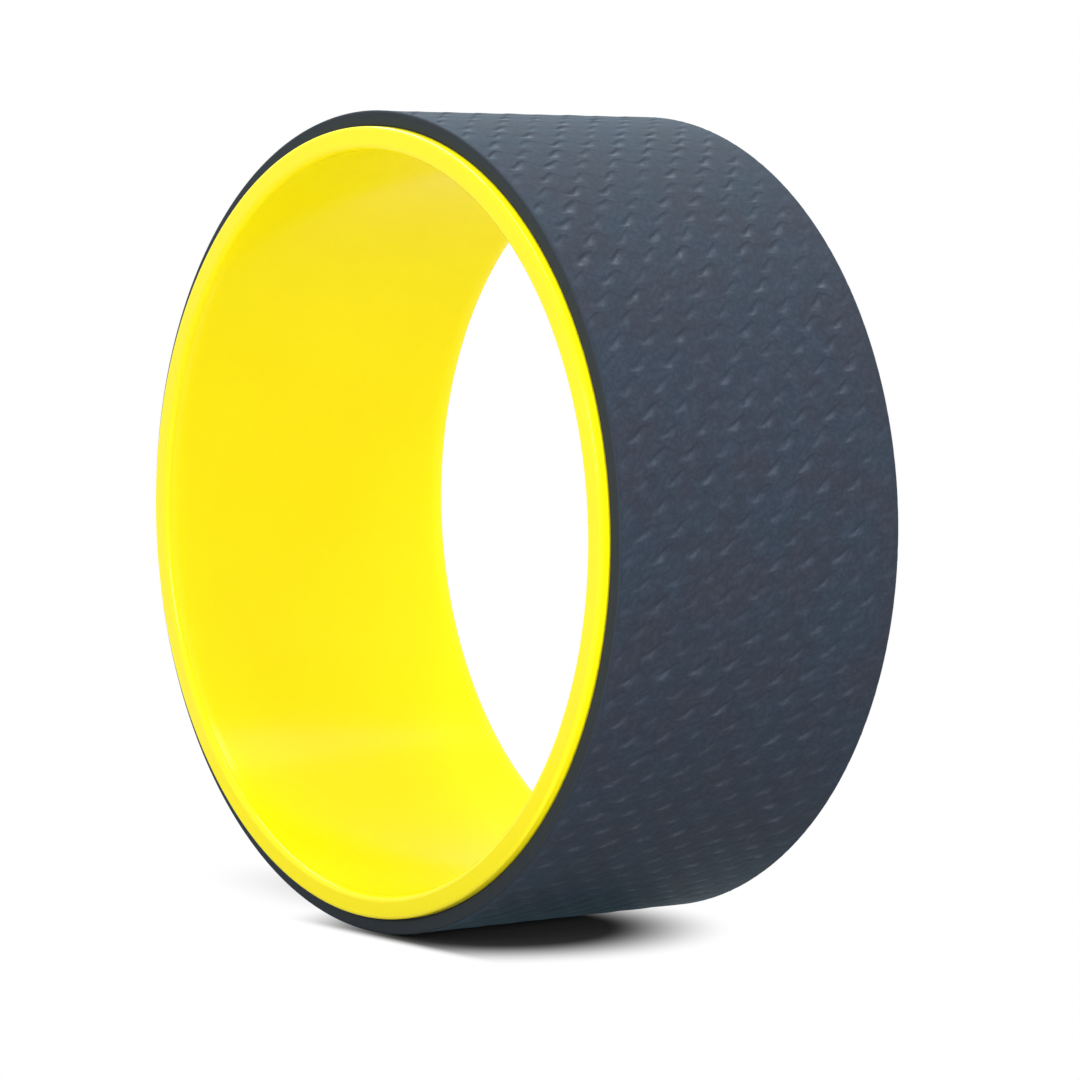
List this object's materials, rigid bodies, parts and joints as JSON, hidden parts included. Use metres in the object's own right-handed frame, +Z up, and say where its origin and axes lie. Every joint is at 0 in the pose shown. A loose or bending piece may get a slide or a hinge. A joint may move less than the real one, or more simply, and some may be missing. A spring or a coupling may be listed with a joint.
{
  "type": "yoga wheel",
  "caption": "Rigid plastic hoop wrapped in an embossed foam tread, rolled under the back for stretches and balance exercises.",
  "frame": {"origin": "centre of the wheel, on its axis, midway between the two rims", "axes": "+Y along the wheel's axis, +Z up, the wheel standing on its tread"},
  "size_m": [0.33, 0.1452, 0.33],
  "materials": {
    "hoop_plastic": "glossy moulded ABS, yellow",
    "adhesive": "dark acrylic film",
    "tread_foam": "matte embossed foam, slate blue-grey",
    "seam_glue": "dark contact adhesive, satin"
  },
  "bodies": {
    "root": {"hoop": "hoop_plastic", "adhesive_film": "adhesive", "tread_pad": "tread_foam", "seam_bond": "seam_glue"}
  },
  "joints": []
}
